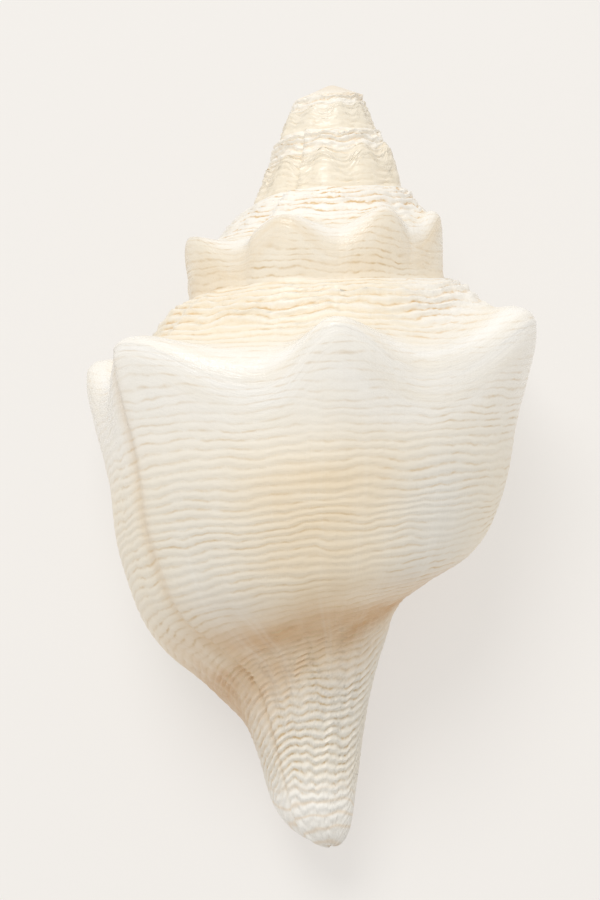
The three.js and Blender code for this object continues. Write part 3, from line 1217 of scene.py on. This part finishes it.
@dataclass(frozen=True)
class ShellFinish:
    """Weathered cream shell outside, glazed ivory inside."""

    cream: Colour = tint(239, 231, 215)
    white: Colour = tint(250, 247, 241)
    butter: Colour = tint(249, 235, 209)
    beige: Colour = tint(233, 211, 176)
    # The base's brown: partly the shell's own tone, partly painted shade where the base turns away from the
    # light.
    brown_and_shade: Colour = tint(212, 174, 130)
    ochre: Colour = tint(224, 190, 140)
    sand: Colour = tint(214, 188, 148)
    grey: Colour = tint(230, 227, 220)
    glaze: Colour = tint(243, 214, 188)
    rough: float = 0.46
    rough_cord: float = 0.12
    rough_knob: float = 0.16
    rough_speck: float = 0.15
    glazed: float = 0.2
    dust_scale: float = 900.0
    dust_rough: float = 0.6
    pit: float = 0.05
    thread: float = 0.2
    line: float = 0.18
    cord: float = 0.12
    calm: float = 0.85
    threads: Streaks = Streaks(5.0, 9.0, 2.0, 3.0, 0.65)
    thread_canal: Point = (10.0, 12.0)
    smooth: tuple[Point, Point] = ((2.6, 4.0), (7.5, 6.0))
    polish: tuple[Point, Point] = ((2.8, 4.2), (7.5, 5.5))
    end_from: Point = (-0.094, -0.108)
    end_white: float = 0.8
    apex_from: Point = (0.109, 0.116)
    apex_sand: float = 0.4
    ring_step: float = 0.0043
    ring: float = 0.22
    ring_sway: float = 2.6
    ring_scale: float = 60.0
    ring_ochre: float = 0.35
    ring_power: float = 6.0

    cloud_scale: float = 26.0
    cloud_share: Point = (0.35, 1.5)
    bands: Streaks = Streaks(40.0, 1.5, 1.0, 3.0)
    older: Point = (-200.0, -270.0)
    ramp: Point = (3.6, 2.2)
    ramp_butter: float = 0.45
    right: Point = (-14.0, -45.0)
    right_white: float = 0.7
    spire_butter: float = 0.2
    crest: tuple[Point, Point] = ((2.6, 4.2), (8.0, 6.2))
    crest_share: Point = (0.75, 1.2)
    crest_spire: float = 0.85
    crest_older: float = 0.6
    older_wall: Point = (4.4, 5.6)
    smudge: Point = (6.4, 1.3)
    smudge_share: Point = (0.35, 1.8)
    canal: Point = (12.0, 13.0)
    canal_grey: float = 0.45
    wall: tuple[Point, Point] = ((6.5, 8.0), (11.5, 10.0))
    patches: tuple[Patch, ...] = (
        Patch(6.0, 24.0, beige, (0.6, 1.6), True),
        Patch(-36.0, 16.0, grey, (0.7, 1.4)),
        Patch(42.0, 20.0, grey, (0.5, 1.2)),
    )
    # Place of the base's brown, partly painted shade, and how uneven it is.
    base: Point = (11.5, 0.85)
    base_brown_and_shade_share: Point = (0.8, 1.4)

    breaks: Streaks = Streaks(6.0, 5.0, 4.0, 3.0, 0.6)
    spreads: Streaks = Streaks(26.0, 1.1, 8.0)
    # Amber in the grooves between the cords: partly their own colour, partly painted shade in the grooves.
    groove_power: float = 5.0
    groove_spire: float = 0.55
    groove_share: Point = (0.8, 5.0)
    groove_amber_and_shade: tuple[Point, ...] = (
        (0, 0.7), (1.5, 0.8), (3, 0.5), (4.5, 0.25), (7, 0.45), (9, 0.6), (11, 0.8), (13, 0.9), (19, 0.6),
    )
    groove_amber_and_shade_share: Point = (0.55, 3.2)
    groove_amber_and_shade_older: float = 0.7
    sand_from: Point = (3.0, 5.0)
    # Whitening of the cords' crests on the ramp and canal: partly their own pale colour, partly painted
    # light.
    bright_ramp: Point = (4.0, 2.0)
    bright_canal: Point = (11.8, 13.0)
    bright_share: float = 0.8
    bright_break: Point = (0.35, 1.2)

    line_white: float = 0.3
    old_lip: Point = (60.0, 3.0)
    old_lip_from: Point = (4.5, 7.0)
    old_lip_plain: float = 0.7
    old_lip_ochre: float = 0.45

    def make(self, conch: Conch) -> bpy.types.Material:
        """Build the material.

        Args:
            conch: The shell that it dresses.

        Returns:
            The material.
        """
        material = bpy.data.materials.new("conch_shell")
        graph = ShaderGraph(material)
        x, y, _ = graph.parts(graph.node("ShaderNodeUVMap", {"uv_map": conch.growth_map}))
        angle, course = x * conch.spiral.whorl, y * conch.profile.last
        place = graph.node("ShaderNodeTexCoord", None, None, "Object")
        inside = graph.value("inside")
        cut = conch.relief
        _, trace, _ = graph.parts(graph.node("ShaderNodeUVMap", {"uv_map": conch.cord_map}))
        cord = cut.cord(graph, angle, trace * conch.profile.last, conch.degree_rate)
        swayed = cut.swayed(graph, angle, course)
        lines = cut.lines(graph, swayed, course)
        spire = cut.spire(angle)

        colour = self.grounds(graph, angle, course, place, spire)
        colour = self.cords(graph, angle, course, cord, spire, colour)
        colour = self.stains(graph, swayed, course, lines, colour)
        _, along, _ = graph.parts(place)
        end = along.step(*self.end_from)
        ring = self.rings(graph, along, place)
        colour = graph.blend(self.end_white * end, colour, self.white)
        colour = graph.blend(self.apex_sand * along.step(*self.apex_from), colour, self.sand)
        gap = self.ring_ochre * end * (1.0 - ring) ** self.ring_power
        colour = graph.blend(gap, colour, self.ochre)
        colour = graph.blend(inside, colour, self.glaze)

        speck = graph.noise(place, self.dust_scale, 3.0, self.dust_rough)
        canal = course.step(*self.thread_canal)
        threads = self.thread * self.threads.at(graph, angle, course) * (1.0 + canal)
        calm = 1.0 - self.calm * spire
        height = (threads + self.line * lines) * calm + self.pit * speck
        height = height + self.cord * cord * (1.0 - span(course, self.smooth))
        height = height * cut.small(angle, conch.degree_rate) + self.ring * end * ring
        feeds = {"Height": height * (1.0 - inside), "Distance": MILLIMETRE, "Strength": 1.0}
        rough = self.rough - self.rough_cord * cord - self.rough_knob * span(course, self.polish)
        graph.dress(
            Base_Color=colour,
            Roughness=inside.between((rough + self.rough_speck * speck).clamp(), self.glazed),
            Normal=graph.node("ShaderNodeBump", None, feeds),
        )
        return material

    def rings(self, graph: ShaderGraph, along: Wire, place: Wire) -> Wire:
        """Growth layers around the canal's end, 0 in a groove and 1 on a layer.

        Args:
            graph: The material's tree.
            along: Place along the shell.
            place: Place in space.

        Returns:
            The share of a layer's height.
        """
        sway = graph.noise(place, self.ring_scale, 2.0)
        layer = along / self.ring_step + self.ring_sway * sway
        return 0.5 + 0.5 * (2.0 * math.pi * layer).cos()

    def grounds(self, graph: ShaderGraph, angle: Wire, course: Wire, place: Wire, spire: Wire) -> Wire:
        """Broad tones of the ramp, shoulder, wall, base and canal; the brown on the base is partly its own
        tone and partly painted shade.

        Args:
            graph: The material's tree.
            angle: Angle of growth.
            course: Station on the profile.
            place: Place in space.
            spire: Share of the spire.

        Returns:
            The colour.
        """
        cloud = graph.noise(place, self.cloud_scale, 3.0)
        band = self.bands.at(graph, angle, course)
        older = angle.step(*self.older)
        ramp = course.step(*self.ramp)
        crest = span(course, self.crest) * (1.0 - self.crest_spire * spire)
        crest = crest * (1.0 - self.crest_older * older * course.step(*self.older_wall))
        smudge = older * (1.0 - spire) * course.bump(*self.smudge)
        washes = [
            (self.ramp_butter * ramp, self.butter),
            (self.right_white * ramp * angle.step(*self.right), self.white),
            (self.spire_butter * spire, self.butter),
            (crest * uneven(self.crest_share, band), self.white),
            (smudge * uneven(self.smudge_share, band), self.beige),
            (self.canal_grey * course.step(*self.canal), self.grey),
        ]
        wall = span(course, self.wall)
        for patch in self.patches:
            share = uneven(patch.share, band if patch.banded else cloud)
            washes.append((wall * angle.bump(patch.at, patch.width) * share, patch.tone))
        # Brown on the base below the body: partly its own tone, partly painted shade where it faces away
        # from the light.
        washes.append((course.bump(*self.base) * uneven(self.base_brown_and_shade_share, band), self.brown_and_shade))
        colour = graph.blend(uneven(self.cloud_share, cloud).clamp(), self.cream, self.butter)
        for share, tone in washes:
            colour = graph.blend(share.clamp(), colour, tone)
        return colour

    def cords(self, graph: ShaderGraph, angle: Wire, course: Wire, cord: Wire, spire: Wire,
              colour: Wire) -> Wire:
        """Tint the grooves between the cords, partly their own amber and partly painted shade, and whiten
        their crests, partly painted light.

        Args:
            graph: The material's tree.
            angle: Angle of growth.
            course: Station on the profile.
            cord: Cross section of the cords.
            spire: Share of the spire.
            colour: Colour so far.

        Returns:
            The colour.
        """
        broken = self.breaks.at(graph, angle, course)
        # Amber in the grooves: partly the shell's own colour, partly painted shade between the cords.
        groove = (1.0 - cord) ** self.groove_power * (1.0 - self.groove_spire * spire)
        spread = uneven(self.groove_amber_and_shade_share, self.spreads.at(graph, angle, course)).clamp()
        older = 1.0 + self.groove_amber_and_shade_older * angle.step(*self.older)
        groove_amber_and_shade = graph.curve(course, self.groove_amber_and_shade) * spread * older
        tone = graph.blend(course.step(*self.sand_from), self.ochre, self.sand)
        colour = graph.blend((groove * groove_amber_and_shade * uneven(self.groove_share, broken)).clamp(), colour, tone)
        # White on the cords' crests: partly their own colour, partly painted light on the raised cords.
        bright = course.step(*self.bright_ramp) + self.bright_share * course.step(*self.bright_canal)
        crest = cord * cord * uneven(self.bright_break, broken) * bright
        return graph.blend(crest.clamp(), colour, self.white)

    def stains(self, graph: ShaderGraph, swayed: Wire, course: Wire, lines: Wire, colour: Wire) -> Wire:
        """Beige stains along old lips and growth lines.

        Args:
            graph: The material's tree.
            swayed: Angle of growth along swaying lines.
            course: Station on the profile.
            lines: Growth lines.
            colour: Colour so far.

        Returns:
            The colour.
        """
        colour = graph.blend((self.line_white * lines).clamp(), colour, self.white)
        below = course.step(*self.old_lip_from)
        old = swayed.bump(*self.old_lip) * below * (self.old_lip_plain + lines)
        return graph.blend(old.clamp() * self.old_lip_ochre, colour, self.ochre)


@dataclass
class Studio:
    """Pale floor, soft light and the camera that looks down on the shell's back."""

    floor_size: float = 40.0
    floor_tone: Colour = tint(149, 147, 144)
    floor_rough: float = 0.9
    floor_glow: float = 0.567
    glow_tone: Colour = (1.0, 0.965, 0.925)
    world_tone: Colour = (1.0, 0.992, 0.975)
    world_power: float = 0.68
    key_place: tuple[float, float, float] = (-0.3, 1.3, 2.4)
    key_size: float = 1.5
    key_power: float = 33.0
    lens: float = 103.2
    sensor: float = 36.0
    distance: float = 812.7
    look: tuple[float, float, float] = (-9.92, -132.9, 0.0)
    pitch: float = 2.5

    def build(self, lie: Matrix) -> None:
        """Set up the floor, the light and the camera.

        Args:
            lie: The matrix that laid the shell down.
        """
        self.lay_floor()
        self.light()
        self.aim(lie)

    def lay_floor(self) -> None:
        """Lay a pale floor under the shell."""
        half = self.floor_size / 2
        mesh = bpy.data.meshes.new("floor")
        corners = [(-half, -half, 0.0), (half, -half, 0.0), (half, half, 0.0), (-half, half, 0.0)]
        mesh.from_pydata(corners, [], [(0, 1, 2, 3)])
        floor = bpy.data.objects.new("floor", mesh)
        bpy.context.scene.collection.objects.link(floor)
        material = bpy.data.materials.new("floor")
        graph = ShaderGraph(material)
        graph.dress(
            Base_Color=(*self.floor_tone, 1.0),
            Roughness=self.floor_rough,
            Emission_Color=(*self.glow_tone, 1.0),
            Emission_Strength=self.floor_glow,
        )
        mesh.materials.append(material)

    def light(self) -> None:
        """Hang a soft lamp and set the world's pale light."""
        world = bpy.data.worlds.new("studio")
        world.use_nodes = True
        background = world.node_tree.nodes["Background"]
        background.inputs["Color"].default_value = (*self.world_tone, 1.0)
        background.inputs["Strength"].default_value = self.world_power
        bpy.context.scene.world = world
        bpy.context.scene.view_settings.view_transform = "Standard"
        lamp = bpy.data.lights.new("key", "AREA")
        lamp.shape = "DISK"
        lamp.size = self.key_size
        lamp.energy = self.key_power
        holder = bpy.data.objects.new("key", lamp)
        spot = Vector(self.key_place)
        holder.location = spot
        holder.rotation_euler = (-spot).to_track_quat("-Z", "Y").to_euler()
        bpy.context.scene.collection.objects.link(holder)

    def aim(self, lie: Matrix) -> None:
        """Place the camera.

        Args:
            lie: The matrix that laid the shell down.
        """
        camera = bpy.data.cameras.new("camera")
        camera.sensor_fit = "VERTICAL"
        camera.sensor_height = self.sensor
        camera.lens = self.lens
        camera.dof.use_dof = False
        turn = Matrix.Rotation(math.radians(self.pitch), 4, "X")
        back = Matrix.Translation((0.0, 0.0, self.distance * MILLIMETRE))
        middle = Matrix.Translation(Vector(self.look) * MILLIMETRE)
        holder = bpy.data.objects.new("camera", camera)
        holder.matrix_world = lie @ middle @ turn @ back
        bpy.context.scene.collection.objects.link(holder)
        bpy.context.scene.camera = holder


def main() -> None:
    """Build the shell and its studio, and note its size."""
    logging.basicConfig(level=logging.INFO, format="%(message)s")
    conch = Conch()
    finish = ShellFinish()
    piece, lie = conch.build(finish.make(conch))
    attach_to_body(piece, BODY)
    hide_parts(NODE)
    triangles = sum(len(face.vertices) - 2 for face in piece.data.polygons)
    LOG.info("%s: %d triangles", piece.name, triangles)
    studio = Studio()
    studio.build(lie)
    LOG.info("floor, light and camera set")


if __name__ == "__main__":
    main()
